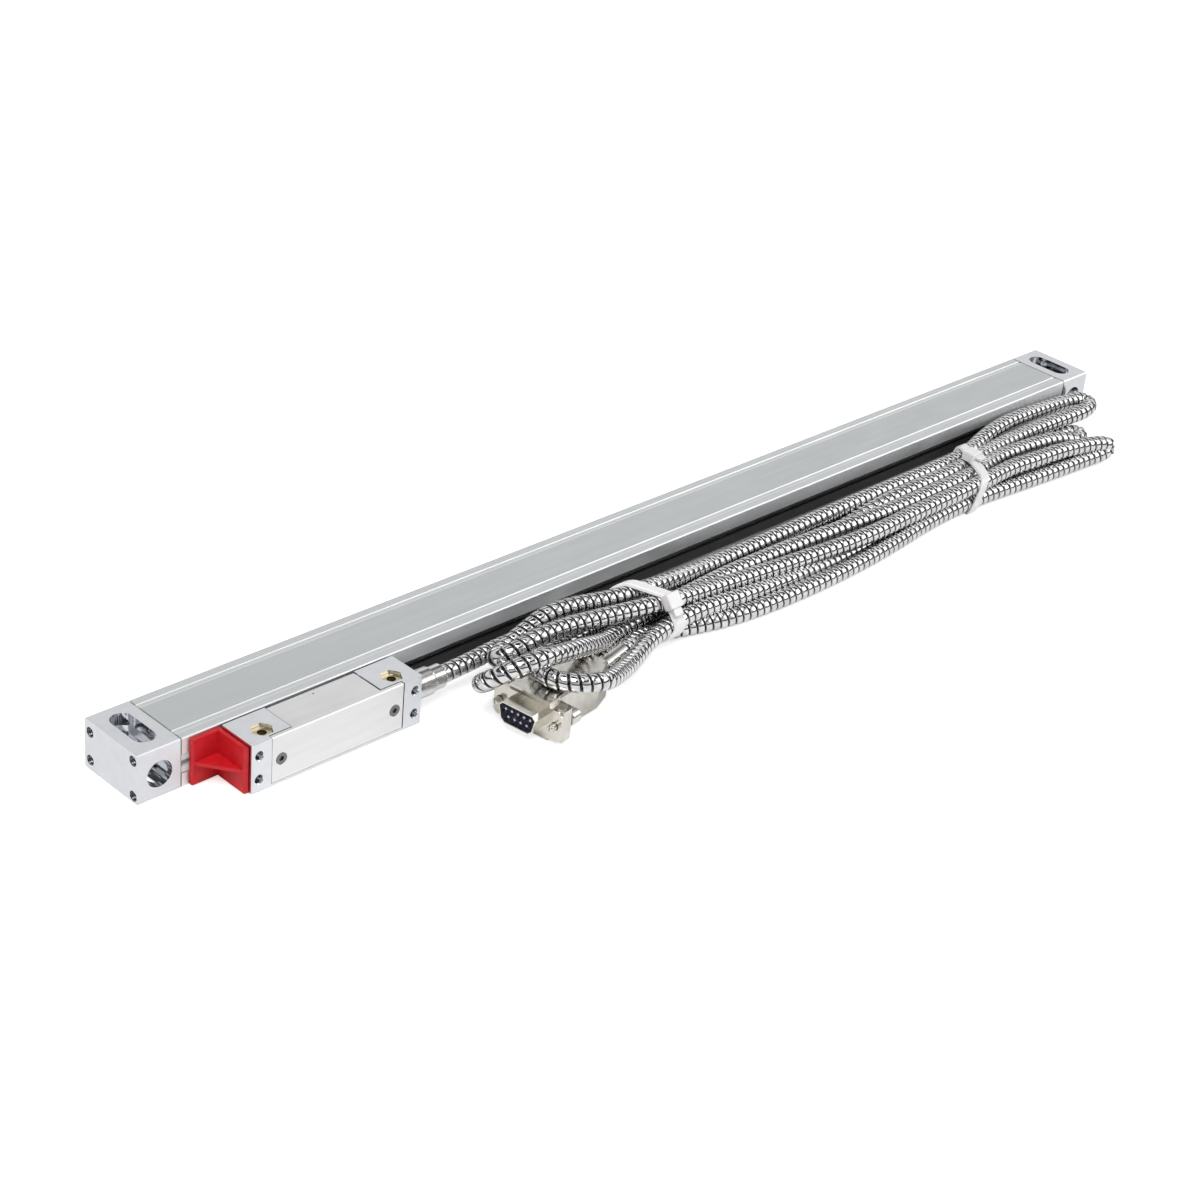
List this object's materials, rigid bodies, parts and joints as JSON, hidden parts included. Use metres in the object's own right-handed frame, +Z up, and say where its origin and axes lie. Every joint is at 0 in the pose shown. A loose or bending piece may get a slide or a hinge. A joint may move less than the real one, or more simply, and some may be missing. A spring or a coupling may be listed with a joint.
{
  "type": "linear glass scale",
  "caption": "Sealed linear glass scale: slotted aluminium housing with end caps, reading head on an inner roller carriage, armoured cord in a tied hank, D-shaped plug.",
  "frame": {"origin": "centre of the housing's underside, half way along it", "axes": "+X along the scale towards the end that the cord's hank reaches, -Y out of the slotted front towards the reading head, +Z up"},
  "size_m": [0.528, 0.093, 0.026],
  "materials": {
    "housing": "satin anodised extrusion",
    "lip": "matte black rubber",
    "lip_insert": "light grey moulding",
    "scale_glass": "polished glass",
    "retainer": "cured silicone bead",
    "gasket": "cut sheet rubber",
    "end_cap": "bright polished casting",
    "screw": "turned steel",
    "head": "bright polished casting",
    "head_cover": "bright polished plate",
    "nut": "nickelled brass",
    "circuit_board": "green solder mask",
    "spring_steel": "blank spring steel",
    "ribbon": "amber film",
    "carriage": "grey anodised",
    "roller": "ground bearing steel",
    "lamp": "black moulding",
    "gland": "nickel plate",
    "bracket": "red moulding",
    "plug_shell": "nickelled pressing",
    "insulator": "navy moulding",
    "contact": "gold flash",
    "hood": "warm nickel casting",
    "jackscrew": "nickelled, knurled",
    "ferrule": "nickel plate",
    "hose": "corrugated stainless steel",
    "tie": "translucent white nylon"
  },
  "bodies": {
    "housing": {"housing_profile": "housing", "upper_lip": "lip", "lower_lip": "lip", "lip_insert_left": "lip_insert", "lip_insert_right": "lip_insert", "glass_scale": "scale_glass", "scale_retainer": "retainer", "end_gasket_left": "gasket", "end_gasket_right": "gasket", "end_cap_left": "end_cap", "end_cap_right": "end_cap", "end_cap_screws": "screw"},
    "head": {"head_block": "head", "head_cover": "head_cover", "cover_gasket": "gasket", "cover_screws": "screw", "clamp_nuts": "nut", "interface_board": "circuit_board", "coupling_blade": "spring_steel", "signal_ribbon": "ribbon", "carriage_frame": "carriage", "roller_pins": "roller", "preload_spring": "spring_steel", "detector_board": "circuit_board", "scanning_reticle": "scale_glass", "lamp_unit": "lamp", "condenser_lens": "scale_glass", "gland_collar": "gland", "gland_sleeve": "gland", "plug_shell": "plug_shell", "plug_insulator": "insulator", "contact_pins": "contact", "hood_lower": "hood", "hood_upper": "hood", "hood_ferrule": "ferrule", "cord_lead": "hose", "cord_tail": "hose", "cord_hank": "hose", "cable_tie_near": "tie", "cable_tie_far": "tie"},
    "face_roller_left": {"face_roller_left": "roller"},
    "face_roller_middle": {"face_roller_middle": "roller"},
    "face_roller_right": {"face_roller_right": "roller"},
    "edge_roller_left": {"edge_roller_left": "roller"},
    "edge_roller_right": {"edge_roller_right": "roller"},
    "transport_bracket": {"transport_bracket": "bracket"},
    "jackscrew_left": {"jackscrew_left": "jackscrew"},
    "jackscrew_right": {"jackscrew_right": "jackscrew"}
  },
  "joints": [
    {"name": "head_slide", "type": "slide", "parent": "housing", "child": "head", "axis": [1, 0, 0], "range_m": [-0.017, 0.403]},
    {"name": "face_roller_left_spin", "type": "hinge", "parent": "head", "child": "face_roller_left", "pos_m": [-0.217, 0.0062, 0.0134], "axis": [0, 1, 0], "continuous": true},
    {"name": "face_roller_middle_spin", "type": "hinge", "parent": "head", "child": "face_roller_middle", "pos_m": [-0.193, 0.0034, 0.0134], "axis": [0, 1, 0], "continuous": true},
    {"name": "face_roller_right_spin", "type": "hinge", "parent": "head", "child": "face_roller_right", "pos_m": [-0.169, 0.0062, 0.0134], "axis": [0, 1, 0], "continuous": true},
    {"name": "edge_roller_left_spin", "type": "hinge", "parent": "head", "child": "edge_roller_left", "pos_m": [-0.2185, -0.0016, 0.0093], "axis": [0, 0, 1], "continuous": true},
    {"name": "edge_roller_right_spin", "type": "hinge", "parent": "head", "child": "edge_roller_right", "pos_m": [-0.1675, -0.0016, 0.0093], "axis": [0, 0, 1], "continuous": true},
    {"name": "bracket_pull", "type": "slide", "parent": "head", "child": "transport_bracket", "axis": [0, -1, 0], "range_m": [0, 0.04]},
    {"name": "jackscrew_left_turn", "type": "hinge", "parent": "head", "child": "jackscrew_left", "pos_m": [-0.13103, -0.04751, 0.008], "axis": [0.9914, 0.1305, 0], "continuous": true},
    {"name": "jackscrew_right_turn", "type": "hinge", "parent": "head", "child": "jackscrew_right", "pos_m": [-0.12777, -0.07229, 0.008], "axis": [0.9914, 0.1305, 0], "continuous": true}
  ],
  "couplings": [
    {"joint": "face_roller_left_spin", "follows": "head_slide", "rad_per_m": 333.33},
    {"joint": "face_roller_middle_spin", "follows": "head_slide", "rad_per_m": 333.33},
    {"joint": "face_roller_right_spin", "follows": "head_slide", "rad_per_m": 333.33},
    {"joint": "edge_roller_left_spin", "follows": "head_slide", "rad_per_m": 333.33},
    {"joint": "edge_roller_right_spin", "follows": "head_slide", "rad_per_m": 333.33}
  ]
}
